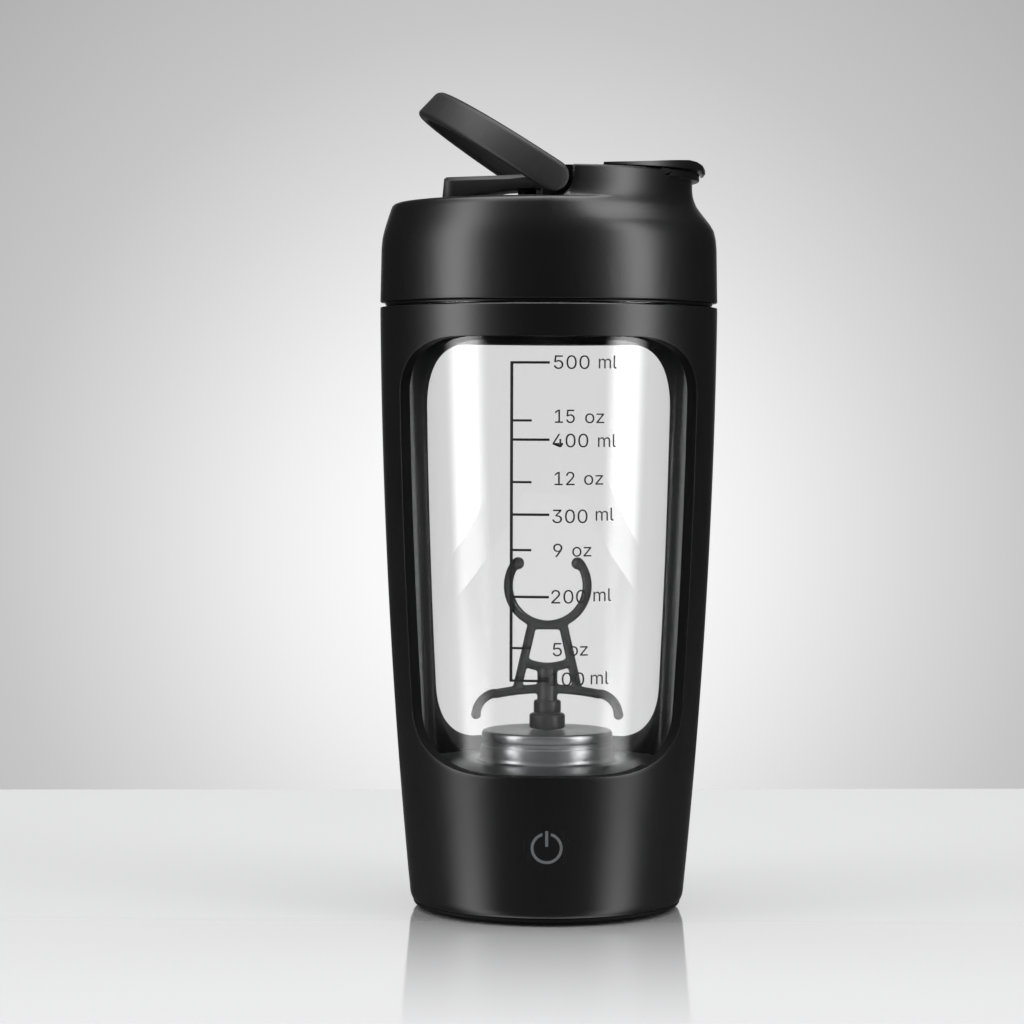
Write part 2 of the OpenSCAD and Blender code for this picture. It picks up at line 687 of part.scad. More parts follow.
module drive_coupling() {
  color([0.05, 0.05, 0.05]) difference() {
    union() {
      translate([0, 0, block_z]) cylinder(r1 = 4.5, r2 = 4.9, h = 0.5);
      translate([0, 0, block_z + 0.5]) cylinder(r = 4.9, h = 3.2);
      translate([0, 0, block_z + 3.7]) cylinder(r1 = 4.9, r2 = 4.4, h = block_top - block_z - 3.7);
      translate([-1.7, -1.7, block_z + 1]) cube([3.4, 3.4, hub_z + 1 - block_z]);
    }
    translate([0, 0, block_z - 1]) cylinder(r = 1, h = 9);
  }
}

module stirrer() {
  rz = ring_z;
  az = arms_z;
  rr = ring_radius;
  foot = [8.2, 0, az + 0.7];
  head = [4.1, 0, rz - rr * cos(asin(4.1 / rr))];
  reach = arm_reach;
  color([0.1, 0.1, 0.105]) difference() {
    union() {
      // open ring with ball ends
      translate([0, 0, rz]) rotate([90, 0, 0]) rotate([0, 0, 141])
        rotate_extrude(angle = 258) translate([rr, 0]) circle(r = bar_r);
      for (s = [-1, 1]) translate([s * rr * cos(39), 0, rz + rr * sin(39)]) sphere(r = bar_r + 0.45);
      // legs and crossbar
      for (s = [-1, 1]) bar([s * head[0], 0, head[2]], [s * foot[0], 0, foot[2]], bar_r);
      translate([0, 0, az + 21]) rotate([90, 0, 0]) rotate([0, 0, 270 - 25.5])
        rotate_extrude(angle = 51) translate([14.6, 0]) circle(r = bar_r);
      // drooping arms
      translate([0, 0, az - 67.6]) rotate([90, 0, 0]) rotate([0, 0, 90 - 12.2])
        rotate_extrude(angle = 24.4) translate([68, 0]) circle(r = bar_r);
      for (s = [-1, 1]) {
        xa = 68 * sin(12.2);
        za = az - 67.6 + 68 * cos(12.2);
        k = reach - xa;
        translate([s * (xa - k * 0.2), 0, za - k * 1.05]) rotate([90, 0, 0])
          rotate([0, 0, s > 0 ? 3.5 : 101])
          rotate_extrude(angle = 75.5) translate([k * 1.2 - bar_r * 0.4, 0]) circle(r = bar_r);
      }
      // hub column
      translate([0, 0, hub_z - 3.5]) cylinder(r = 2.8, h = az + 6.4 - hub_z + 3.5);
    }
    translate([-1.8, -1.8, hub_z - 4]) cube([3.6, 3.6, 4 + 2.3]);
  }
}

module hub_collar() {
  color([0.05, 0.05, 0.05]) translate([0, 0, collar_z]) difference() {
    union() {
      cylinder(r = 3.75, h = 3);
      translate([0, 0, 3]) cylinder(r1 = 3.75, r2 = 3.3, h = 0.5);
    }
    translate([0, 0, -e]) cylinder(r = 2.8, h = 4);
  }
}

module port_plug() {
  color([0.12, 0.12, 0.12]) union() {
    intersection() {
      rotate_extrude() polygon([for (p = [[0.2, 5], [0.2, 20], [2.4, 20], [2.4, 5]])
        [wall_r(p[1]) - p[0], p[1]]]);
      port_shape(0, 20, 60);
    }
    for (s = [-1, 1]) translate([s * 2.6, 0, port_z]) rod_y(1.1, board_y + 5, wall_r(port_z) - 1);
    translate([-2.6, board_y + 5, port_z - 1.1]) cube([5.2, wall_r(port_z) - board_y - 6, 2.2]);
  }
}

outer_shell();
clear_cup();
scale_print();
floor_plate();
floor_gasket();
dome_gasket();
shaft_seal();
motor_holder();
motor_can();
motor_screws();
battery_cells();
control_board();
charge_socket();
switch_board();
push_switch();
base_cover();
base_screws();
foot_ring();
lid_shell();
lid_liner();
lid_gasket();
loop_pins();
cap_pin();
flap_pin();
carry_loop();
flip_cap();
cap_plug();
vent_flap();
vent_plug();
power_button();
button_icon();
motor_shaft();
drive_coupling();
stirrer();
hub_collar();
port_plug();
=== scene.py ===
import math
import bmesh
import bpy
from mathutils import Matrix, Vector


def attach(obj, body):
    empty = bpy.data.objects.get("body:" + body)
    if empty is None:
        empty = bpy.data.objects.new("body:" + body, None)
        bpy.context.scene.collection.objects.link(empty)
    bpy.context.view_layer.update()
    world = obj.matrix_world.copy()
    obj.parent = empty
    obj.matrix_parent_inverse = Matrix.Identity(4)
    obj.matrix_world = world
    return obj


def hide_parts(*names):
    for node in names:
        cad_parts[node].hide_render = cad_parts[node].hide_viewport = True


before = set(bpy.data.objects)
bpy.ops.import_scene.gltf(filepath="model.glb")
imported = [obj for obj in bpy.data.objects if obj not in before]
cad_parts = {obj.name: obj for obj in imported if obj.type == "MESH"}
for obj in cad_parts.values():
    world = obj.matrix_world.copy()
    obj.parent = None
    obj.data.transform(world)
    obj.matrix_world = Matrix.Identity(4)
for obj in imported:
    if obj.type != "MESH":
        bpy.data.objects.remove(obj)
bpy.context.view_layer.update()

mm = 0.001
print("frame loaded")


# small helpers for modelling

def startFresh():
    if bpy.context.object and bpy.context.object.mode != "OBJECT":
        bpy.ops.object.mode_set(mode="OBJECT")
    bpy.ops.object.select_all(action="DESELECT")


def pick(*pieces):
    startFresh()
    for piece in pieces:
        piece.select_set(True)
    bpy.context.view_layer.objects.active = pieces[0]
    return pieces[0]


def editMesh(piece, mode="VERT"):
    pick(piece)
    bpy.ops.object.mode_set(mode="EDIT")
    bpy.ops.mesh.select_mode(type=mode)
    return bmesh.from_edit_mesh(piece.data)


def selectWhere(piece, kind, test):
    # kind is "VERT", "EDGE" or "FACE", and the test gets the middle of each in millimetres
    shape = editMesh(piece, kind)
    bpy.ops.mesh.select_all(action="DESELECT")
    parts = {"VERT": shape.verts, "EDGE": shape.edges, "FACE": shape.faces}[kind]
    for part in parts:
        if kind == "VERT":
            middle = part.co
        elif kind == "EDGE":
            middle = (part.verts[0].co + part.verts[1].co) / 2
        else:
            middle = part.calc_center_median()
        part.select_set(bool(test(middle / mm)))
    shape.select_flush_mode()
    bmesh.update_edit_mesh(piece.data)


def applied(piece, kind, **settings):
    pick(piece)
    modifier = piece.modifiers.new(kind.title(), kind)
    for name, value in settings.items():
        setattr(modifier, name, value)
    bpy.ops.object.modifier_apply(modifier=modifier.name)
    return piece


def rounded(piece, width, segments=3, angle=30, clamp=True):
    # soft moulded edges
    return applied(piece, "BEVEL", width=width * mm, segments=segments, limit_method="ANGLE",
                   angle_limit=math.radians(angle), use_clamp_overlap=clamp, harden_normals=False)


def settle(piece, name, angle=32):
    # place into the mesh, object at the origin, smooth shading up to the given edge angle
    piece.name = name
    pick(piece)
    bpy.ops.object.transform_apply(location=True, rotation=True, scale=True)
    bpy.ops.object.shade_smooth_by_angle(angle=math.radians(angle))
    return piece


def closeUp(piece):
    editMesh(piece)
    bpy.ops.mesh.select_all(action="SELECT")
    bpy.ops.mesh.remove_doubles(threshold=0.002 * mm)
    bpy.ops.mesh.normals_make_consistent(inside=False)
    bpy.ops.object.mode_set(mode="OBJECT")
    return piece


def turned(name, outline, steps=128, closed=True):
    # a lathe: one point is extruded along the outline of (radius, height) and spun round the axis
    startFresh()
    bpy.ops.mesh.primitive_plane_add(size=mm, location=(outline[0][0] * mm, 0, outline[0][1] * mm))
    piece = bpy.context.object
    bpy.ops.object.mode_set(mode="EDIT")
    bpy.ops.mesh.select_all(action="SELECT")
    bpy.ops.mesh.merge(type="CENTER")
    path = list(outline) + ([outline[0]] if closed else [])
    for (r1, z1), (r2, z2) in zip(path, path[1:]):
        bpy.ops.mesh.extrude_vertices_move(
            TRANSFORM_OT_translate={"value": ((r2 - r1) * mm, 0, (z2 - z1) * mm)})
    bpy.ops.mesh.select_all(action="SELECT")
    bpy.ops.mesh.spin(steps=steps, angle=math.tau, center=(0, 0, 0), axis=(0, 0, 1))
    bpy.ops.object.mode_set(mode="OBJECT")
    closeUp(piece)
    piece.name = name
    return piece


def mergedCopy(name, node, flat=1.0):
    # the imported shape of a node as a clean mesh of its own
    piece = bpy.data.objects.new(name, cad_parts[node].data.copy())
    bpy.context.scene.collection.objects.link(piece)
    piece.data.materials.clear()
    pick(piece)
    bpy.ops.mesh.customdata_custom_splitnormals_clear()
    editMesh(piece)
    bpy.ops.mesh.select_all(action="SELECT")
    bpy.ops.mesh.remove_doubles(threshold=0.002 * mm)
    bpy.ops.mesh.dissolve_limited(angle_limit=math.radians(flat))
    bpy.ops.object.mode_set(mode="OBJECT")
    return piece


def cutAway(piece, cutter, operation="DIFFERENCE"):
    applied(piece, "BOOLEAN", object=cutter, operation=operation, solver="EXACT")
    bpy.data.objects.remove(cutter)
    return piece


def joined(name, pieces):
    pick(*pieces)
    bpy.ops.object.join()
    piece = bpy.context.object
    piece.name = name
    return piece


# the shape of the shell, in millimetres, as in the part's source

shell = {
    "topRadius": 46.0, "baseRadius": 37.5, "rimHeight": 163.9, "wall": 3.0, "kneeHeight": 4.6, "slope": 0.00963,
    "edgeRadius": 0.45, "cornerSteps": 12, "sideSteps": 40, "headSteps": 36,
    "levels": [0, 0.03, 0.07, 0.13, 0.2, 0.28, 0.36, 0.45, 0.54, 0.63, 0.72, 0.81, 0.9, 1],
    # the button's hole widens at its mouth
    "buttonHeight": 21.3, "buttonRadius": 6.8, "buttonMouth": 7.1, "buttonDepth": 29, "holeEnd": 46,
    "portHeight": 12.4, "portRadius": 3.35, "portHalf": 3.6, "portDepth": (30, 50),
    # rings of (radius, height) that round the shell's foot
    "foot": [(37.5, 4.6), (37.35, 3.7), (37.1, 3.0), (36.7, 2.2)],
}
# corners are given by the angle they take up and their height
frontWindow = {"side": 0, "half": 60, "head": 8.5, "sill": 40, "upper": (30, 15), "lower": (38, 15)}
rearWindow = {"side": 180, "half": 59, "head": 6.5, "sill": 43.2, "upper": (26, 19), "lower": (26, 15)}
shellSpan = shell["rimHeight"] - shell["kneeHeight"]
shellCurve = (shell["topRadius"] - shell["baseRadius"] - shell["slope"] * shellSpan) / shellSpan ** 2


def wallRadius(z):
    drop = shell["rimHeight"] - z
    return shell["topRadius"] - shell["slope"] * drop - shellCurve * drop ** 2


def onShell(angle, z):
    a = math.radians(angle)
    r = wallRadius(z)
    return Vector((r * math.sin(a), -r * math.cos(a), z)) * mm


def windowOutline(window):
    # (angle, height) all round the opening, and the same points on the border of its half of the shell
    low, high = window["sill"], shell["rimHeight"] - window["head"]
    side, half, n = window["side"], window["half"], shell["cornerSteps"]
    (uw, uh), (lw, lh) = window["upper"], window["lower"]
    corners = [(half - uw, high - uh, uw, uh), (uw - half, high - uh, uw, uh), (lw - half, low + lh, lw, lh),
               (half - lw, low + lh, lw, lh)]
    inside, border = [], []

    def onCorner(corner, degrees):
        middle, height, wide, tall = corner
        t = math.radians(degrees)
        return side + middle + wide * math.cos(t), height + tall * math.sin(t)

    for k, corner in enumerate(corners):
        inside += [onCorner(corner, 90 * k + 90 * i / n) for i in range(n)]
        start, end = onCorner(corner, 90 * k + 90), onCorner(corners[(k + 1) % 4], 90 * k + 90)
        steps = shell["headSteps"] if k % 2 == 0 else shell["sideSteps"]
        inside += [(start[0] + (end[0] - start[0]) * i / steps, start[1] + (end[1] - start[1]) * i / steps)
                   for i in range(steps)]
    # the border starts half a corner before the upper right corner
    top, bottom, left, right = shell["rimHeight"], shell["kneeHeight"], side - 90, side + 90
    h = n // 2
    runs = [(right, bottom, right, top, shell["sideSteps"] + n), (right, top, left, top, shell["headSteps"] + n),
            (left, top, left, bottom, shell["sideSteps"] + n), (left, bottom, right, bottom, shell["headSteps"] + n)]
    for a0, z0, a1, z1, steps in runs:
        border += [(a0 + (a1 - a0) * i / steps, z0 + (z1 - z0) * i / steps) for i in range(steps)]
    shift = shell["sideSteps"] + n - h
    border = border[shift:] + border[:shift]
    return inside, border


def halfShell(window):
    # a ring of points round the window, extruded outwards level by level to the border
    inside, border = windowOutline(window)
    startFresh()
    bpy.ops.mesh.primitive_circle_add(vertices=len(inside), radius=30 * mm)
    piece = bpy.context.object
    for v, place in zip(piece.data.vertices, inside):
        v.co = onShell(*place)
    bpy.ops.object.mode_set(mode="EDIT")
    bpy.ops.mesh.select_mode(type="VERT")
    bpy.ops.mesh.select_all(action="SELECT")
    order = {i: i for i in range(len(inside))}
    for level in shell["levels"][1:]:
        bpy.ops.mesh.extrude_region_move()
        shape = bmesh.from_edit_mesh(piece.data)
        shape.verts.index_update()
        grown = {}
        for v in [v for v in shape.verts if v.select]:
            old = next(e.other_vert(v) for e in v.link_edges if not e.other_vert(v).select)
            i = order[old.index]
            a = inside[i][0] + (border[i][0] - inside[i][0]) * level
            z = inside[i][1] + (border[i][1] - inside[i][1]) * level
            v.co = onShell(a, z)
            grown[v.index] = i
        order = grown
        bmesh.update_edit_mesh(piece.data)
    bpy.ops.object.mode_set(mode="OBJECT")
    return piece


outerShell = joined("shellBody", [halfShell(frontWindow), halfShell(rearWindow)])
closeUp(outerShell)
selectWhere(outerShell, "VERT", lambda p: p.z < shell["kneeHeight"] + 0.01)
for (before, zBefore), (radius, z) in zip(shell["foot"], shell["foot"][1:]):
    bpy.ops.mesh.extrude_region_move(TRANSFORM_OT_translate={"value": (0, 0, (z - zBefore) * mm)})
    ratio = radius / before
    bpy.ops.transform.resize(value=(ratio, ratio, 1), center_override=(0, 0, z * mm))
bpy.ops.mesh.select_all(action="SELECT")
bpy.ops.mesh.normals_make_consistent(inside=False)
shape = bmesh.from_edit_mesh(outerShell.data)
shape.faces.ensure_lookup_table()
probe = max(shape.faces, key=lambda f: f.calc_center_median().x)
if probe.normal.x < 0:
    bpy.ops.mesh.flip_normals()
bpy.ops.object.mode_set(mode="OBJECT")
# two slots: the faces of the window cuts take the second finish
for slotNumber in range(2):
    outerShell.data.materials.append(None)
applied(outerShell, "SOLIDIFY", thickness=shell["wall"] * mm, offset=-1, use_even_offset=True,
        material_offset_rim=1)
rounded(outerShell, shell["edgeRadius"], 3, 40)

# the hole for the button, with a softened rim, and the port in the back
narrow, mouth, face = shell["buttonRadius"], shell["buttonMouth"], wallRadius(shell["buttonHeight"])
buttonCutter = turned("buttonCutter", [
    (0, shell["buttonDepth"]), (narrow, shell["buttonDepth"]), (narrow, face - 0.45), (mouth, face + 0.05),
    (mouth, shell["holeEnd"]), (0, shell["holeEnd"])], 96, closed=False)
buttonCutter.rotation_euler = (math.radians(90), 0, 0)
buttonCutter.location = (0, 0, shell["buttonHeight"] * mm)
cutAway(outerShell, buttonCutter)
near, far = shell["portDepth"]
startFresh()
bpy.ops.mesh.primitive_cylinder_add(vertices=48, radius=shell["portRadius"] * mm, depth=(far - near) * mm,
                                    location=(0, (near + far) / 2 * mm, shell["portHeight"] * mm),
                                    rotation=(math.radians(90), 0, 0))
portCutter = bpy.context.object
for side in (-1, 1):
    selectWhere(portCutter, "VERT", lambda p: p.x * side > 0.01)
    bpy.ops.transform.translate(value=(side * shell["portHalf"] * mm, 0, 0))
bpy.ops.object.mode_set(mode="OBJECT")
cutAway(outerShell, portCutter)
settle(outerShell, "outerShell")
print("shell made")


# the clear cup, a turned wall with its neck and thread

cup = {
    # the wall widens from its foot to the height where the shoulder starts
    "lowRadius": 36.99, "highRadius": 42.208, "taperFrom": 38, "taperSpan": 121.9, "shoulder": 159.9, "wall": 2.0,
    "foot": 36.8, "floor": 38.5, "footInside": 31, "rim": 163.9, "flangeTop": 165.0, "flangeRadius": 44.5,
    "neckRadius": 39.5, "neckInside": 37.6, "neckTop": 184.0, "neckEdge": 0.5, "edge": 0.3,
    "threadPitch": 6.0, "threadTurns": 1.6, "threadStart": 170.5,
    # corners of the thread's section: outwards from the neck, and up from its middle
    "threadSection": [(-0.3, -1.2), (1.4, -0.5), (-0.3, 1.2), (1.4, 0.5)],
}


def cupRadius(z):
    return cup["lowRadius"] + (cup["highRadius"] - cup["lowRadius"]) * (z - cup["taperFrom"]) / cup["taperSpan"]


neck, inside, top, edge = cup["neckRadius"], cup["neckInside"], cup["neckTop"], cup["neckEdge"]
clearCup = turned("cupBody", [
    (cup["footInside"], cup["foot"]), (cupRadius(cup["foot"]), cup["foot"]), (cup["highRadius"], cup["shoulder"]),
    (cup["highRadius"], cup["rim"]), (cup["flangeRadius"], cup["rim"]), (cup["flangeRadius"], cup["flangeTop"]),
    (neck, cup["flangeTop"]), (neck, top - edge), (neck - edge, top), (inside + edge, top), (inside, top - edge),
    (inside, cup["rim"] - 0.2), (cup["highRadius"] - 2.4, cup["shoulder"]),
    (cupRadius(cup["floor"]) - cup["wall"], cup["floor"]), (cup["footInside"], cup["floor"])], 160)
rounded(clearCup, cup["edge"], 2, 20)
startFresh()
bpy.ops.mesh.primitive_plane_add(size=mm, location=(0, 0, 0))
thread = bpy.context.object
r, z = cup["neckRadius"] * mm, cup["threadStart"] * mm
for v, (x, dz) in zip(thread.data.vertices, cup["threadSection"]):
    v.co = (r + x * mm, 0, z + dz * mm)
applied(thread, "SCREW", angle=math.tau * cup["threadTurns"],
        screw_offset=cup["threadPitch"] * cup["threadTurns"] * mm, steps=120, render_steps=120,
        use_merge_vertices=True)
closeUp(thread)
clearCup = joined("cupBody", [clearCup, thread])
settle(clearCup, "clearCup")
print("cup made")


# the printed numerals, set level with their marks on the cup's face

numerals = {
    # text, left edge, width, height of its middle and letter height, in millimetres as seen from the front
    "rows": [("500", 1.4, 9.3, 148.7, 3.6), ("400", 1.15, 9.3, 128.3, 3.6), ("300", 1.15, 9.2, 108.5, 3.6),
             ("200", 0.95, 9.1, 87.4, 3.6), ("100", 0.7, 9.0, 65.7, 3.6),
             ("15", 1.7, 5.2, 134.6, 3.5), ("12", 1.7, 5.2, 118.4, 3.5), ("9", 1.4, 2.4, 99.6, 3.5),
             ("5", 1.4, 2.4, 73.5, 3.5)],
    "units": [("ml", 13.1, 4.7, 148.8, 3.4), ("ml", 13.0, 4.7, 128.3, 3.4), ("ml", 12.5, 4.7, 109.0, 3.4),
              ("ml", 12.0, 4.7, 87.8, 3.4), ("ml", 11.4, 4.7, 65.9, 3.4),
              ("oz", 9.6, 5.0, 134.1, 2.6), ("oz", 9.4, 5.0, 118.0, 2.6), ("oz", 6.4, 5.0, 99.2, 2.6),
              ("oz", 5.6, 5.0, 73.1, 2.6)],
    "proud": 0.05, "thickness": 0.04, "smooth": 6,
}
plainLetters = bpy.data.fonts.load(bpy.utils.system_resource("DATAFILES", path="fonts") + "/Inter.woff2")


def printedWord(text, left, width, middle, height):
    startFresh()
    bpy.ops.object.text_add(location=(0, 0, 0))
    word = bpy.context.object
    word.data.body = text
    word.data.font = plainLetters
    word.data.resolution_u = numerals["smooth"]
    bpy.ops.object.convert(target="MESH")
    word = bpy.context.object
    xs = [v.co.x for v in word.data.vertices]
    ys = [v.co.y for v in word.data.vertices]
    for v in word.data.vertices:
        x = left + (v.co.x - min(xs)) / (max(xs) - min(xs)) * width
        z = middle + ((v.co.y - min(ys)) / (max(ys) - min(ys)) - 0.5) * height
        r = cupRadius(z) + numerals["proud"]
        v.co = Vector((x, -math.sqrt(r * r - x * x), z)) * mm
    return word


words = [printedWord(*row) for row in numerals["rows"] + numerals["units"]]
scaleNumerals = joined("numeralPrint", words)
applied(scaleNumerals, "SOLIDIFY", thickness=numerals["thickness"] * mm, offset=1)
settle(scaleNumerals, "scaleNumerals")
print("numerals made")


# the floor plate with its raised dome

plate = {
    # outline of (radius, height): the shaft's hole, the dome's top and side, the flat plate and back under the dome
    "outline": [
        (2.2, 48.8), (16.9, 48.8), (17.7, 48.55), (17.95, 47.9), (18.0, 46.4), (17.85, 46.25), (17.9, 44.9),
        (18.15, 44.7), (18.3, 41.7), (18.5, 41.0), (19.3, 40.4), (34.75, 39.7), (34.75, 38.9), (18.4, 38.9),
        (17.2, 39.9), (17.1, 44.5), (16.9, 46.2), (16.9, 47.2), (16.1, 48.0), (2.2, 48.0)],
    "edge": 0.12, "steps": 160,
}
floorPlate = turned("plateBody", plate["outline"], plate["steps"])
rounded(floorPlate, plate["edge"], 2, 12)
settle(floorPlate, "floorPlate")
print("floor plate made")


# the stirrer: bars spun and extruded from small circles, then melted together so that the joints have fillets

stirrerParts = {
    "bar": 1.3, "ringRadius": 10.8, "ringHeight": 88.6, "ringSpan": (142.5, 397.5), "ringBalls": (8.15, 6.25, 1.75),
    # the bridge under the ring, the crossbar between the legs and the arms' flat arch: radius and span in degrees
    "bridge": (4.2, 10.9, 1.2), "crossbar": (21, 14.6, 244.5, 295.5), "arch": (-67.6, 68, 77.8, 102.2),
    "legTop": 4.1, "legFoot": 8.2, "armsHeight": 59.7, "bend": (13.22, 52.54, 6.356), "bendSpan": (3.5, 79),
    "tips": (19.56, 52.9, 1.45), "hubRadius": 2.8, "hubBottom": 53.7, "hubTop": 66.1, "hubWall": 0.9,
    "hubBore": 5.6, "voxel": 0.3,
}


def arcBar(cx, cz, radius, fromDeg, toDeg, bar, steps=24):
    startFresh()
    a = math.radians(fromDeg)
    bpy.ops.mesh.primitive_circle_add(
        vertices=20, radius=bar * mm, fill_type="NGON",
        location=((cx + radius * math.cos(a)) * mm, 0, (cz + radius * math.sin(a)) * mm), rotation=(0, -a, 0))
    piece = bpy.context.object
    bpy.ops.object.transform_apply(location=True, rotation=True, scale=True)
    bpy.ops.object.mode_set(mode="EDIT")
    bpy.ops.mesh.select_all(action="SELECT")
    bpy.ops.mesh.spin(steps=steps, angle=math.radians(toDeg - fromDeg), center=(cx * mm, 0, cz * mm), axis=(0, 1, 0))
    bpy.ops.object.mode_set(mode="OBJECT")
    return closeUp(piece)


def straightBar(x0, z0, x1, z1, radius):
    startFresh()
    length = math.hypot(x1 - x0, z1 - z0)
    bpy.ops.mesh.primitive_cylinder_add(
        vertices=20, radius=radius * mm, depth=length * mm,
        location=((x0 + x1) / 2 * mm, 0, (z0 + z1) / 2 * mm), rotation=(0, math.atan2(x1 - x0, z1 - z0), 0))
    piece = bpy.context.object
    bpy.ops.object.transform_apply(location=True, rotation=True, scale=True)
    return piece


def ball(x, z, radius):
    startFresh()
    bpy.ops.mesh.primitive_uv_sphere_add(segments=24, ring_count=16, radius=radius * mm,
                                         location=(x * mm, 0, z * mm))
    bpy.ops.object.transform_apply(location=True, rotation=True, scale=True)
    return bpy.context.object


bar = stirrerParts["bar"]
ringR, ringZ, armsZ = stirrerParts["ringRadius"], stirrerParts["ringHeight"], stirrerParts["armsHeight"]
bridgeHalf, bridgeDrop, bridgeBar = stirrerParts["bridge"]
crossZ, crossR, crossFrom, crossTo = stirrerParts["crossbar"]
archZ, archR, archFrom, archTo = stirrerParts["arch"]
ballX, ballZ, ballR = stirrerParts["ringBalls"]
bendX, bendZ, bendR = stirrerParts["bend"]
tipX, tipZ, tipR = stirrerParts["tips"]
bars = [arcBar(0, ringZ, ringR, *stirrerParts["ringSpan"], bar, 60),
        straightBar(-bridgeHalf, ringZ - bridgeDrop, bridgeHalf, ringZ - bridgeDrop, bridgeBar),
        arcBar(0, armsZ + crossZ, crossR, crossFrom, crossTo, bar, 16),
        arcBar(0, armsZ + archZ, archR, archFrom, archTo, bar, 20)]
for side in (-1, 1):
    low, high = stirrerParts["bendSpan"] if side > 0 else [180 - a for a in reversed(stirrerParts["bendSpan"])]
    bars.append(ball(side * ballX, ringZ + ballZ, ballR))
    bars.append(straightBar(side * stirrerParts["legTop"], ringZ - 10, side * stirrerParts["legFoot"], armsZ + 0.7,
                            bar))
    bars.append(arcBar(side * bendX, bendZ, bendR, low, high, bar, 14))
    bars.append(ball(side * tipX, tipZ, tipR))
hub = straightBar(0, stirrerParts["hubBottom"], 0, stirrerParts["hubTop"], stirrerParts["hubRadius"])
selectWhere(hub, "FACE", lambda p: p.z < stirrerParts["hubBottom"] + 0.01)
bpy.ops.mesh.inset(thickness=stirrerParts["hubWall"] * mm)
bpy.ops.mesh.extrude_region_move(TRANSFORM_OT_translate={"value": (0, 0, stirrerParts["hubBore"] * mm)})
bpy.ops.object.mode_set(mode="OBJECT")
stirrer = joined("stirrerBody", bars + [hub])
applied(stirrer, "REMESH", mode="VOXEL", voxel_size=stirrerParts["voxel"] * mm)
applied(stirrer, "SMOOTH", factor=0.5, iterations=5)
settle(stirrer, "stirrer", 80)
print("stirrer made")


# the lid and what swings on it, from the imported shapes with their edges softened

softEdges = {"lid_shell": 0.4, "flip_cap": 0.25, "carry_loop": 0.5, "vent_flap": 0.3, "power_button": 0.25,
             "base_cover": 0.3, "foot_ring": 0.15, "drive_coupling": 0.15, "hub_collar": 0.2}


def softened(name, node, segments=3):
    piece = mergedCopy(name, node)
    rounded(piece, softEdges[node], segments, 28, clamp=False)
    return settle(piece, name)


lid = {
    "deck": 192.3, "pivot": 1.0, "blendStart": 93, "blendSpan": 31, "stepFrom": 38.4,
    # heights from the deck at which the mesh is cut, so that it can follow the deck's edge
    "cuts": (-0.55, -0.25, -0.08, 0.0),
    # outer radius of the tower by height above the deck, and how much wider the deck's edge is
    "tower": [(-21.3, 45.85), (-12.5, 45.7), (-9.8, 45.45), (-7.6, 44.95), (-5.7, 43.85), (-3.7, 42.25),
              (-2.2, 41.1), (-1.1, 40.3), (0.4, 39.65), (2, 39.2), (4.2, 39.0)],
    "wider": [(-21.3, 0), (-7.6, 0), (-5.7, 0.55), (-3.7, 1.5), (-2.2, 2.15), (-1.1, 2.55), (-0.55, 2.24),
              (-0.25, 1.57), (-0.08, 0.34), (0, 0), (4.2, 0)],
}


def between(table, height):
    for (h0, v0), (h1, v1) in zip(table, table[1:]):
        if h0 <= height <= h1:
            return v0 + (v1 - v0) * (height - h0) / (h1 - h0)
    return None


# the tower's shoulder runs into the deck's without a step beside the loop
lidShell = mergedCopy("lidShell", "lid_shell")
for level in lid["cuts"]:
    editMesh(lidShell)
    bpy.ops.mesh.select_all(action="SELECT")
    bpy.ops.mesh.bisect(plane_co=(0, 0, (lid["deck"] + level) * mm), plane_no=(0, 0, 1))
    bpy.ops.object.mode_set(mode="OBJECT")
for v in lidShell.data.vertices:
    x, y, height = v.co.x / mm, v.co.y / mm, v.co.z / mm - lid["deck"]
    radius, tower, wider = math.hypot(x, y), between(lid["tower"], height), between(lid["wider"], height)
    if not wider or x < lid["pivot"] - 0.02 or abs(radius - tower) > 0.12:
        continue
    turnedBy = math.degrees(math.atan2(abs(y), x))
    share = min(1, max(0, (lid["blendStart"] - turnedBy) / lid["blendSpan"]))
    grown = radius + wider * (1 - share * share * (3 - 2 * share))
    v.co.y = math.copysign(math.sqrt(max(grown ** 2 - x ** 2, 0)), y) * mm
# what was the step's own face is now without height
selectWhere(lidShell, "FACE", lambda p: abs(p.x - lid["pivot"]) < 0.03 and abs(p.y) > lid["stepFrom"]
            and p.z < lid["deck"] - 0.01)
bpy.ops.mesh.delete(type="ONLY_FACE")
bpy.ops.mesh.select_all(action="SELECT")
bpy.ops.mesh.remove_doubles(threshold=0.12 * mm)
bpy.ops.mesh.dissolve_degenerate(threshold=0.05 * mm)
bpy.ops.mesh.normals_make_consistent(inside=False)
bpy.ops.object.mode_set(mode="OBJECT")
rounded(lidShell, softEdges["lid_shell"], 3, 40, clamp=False)
settle(lidShell, "lidShell")

flipCap = mergedCopy("flipCap", "flip_cap")
rounded(flipCap, softEdges["flip_cap"], 2, 28)
settle(flipCap, "flipCap")
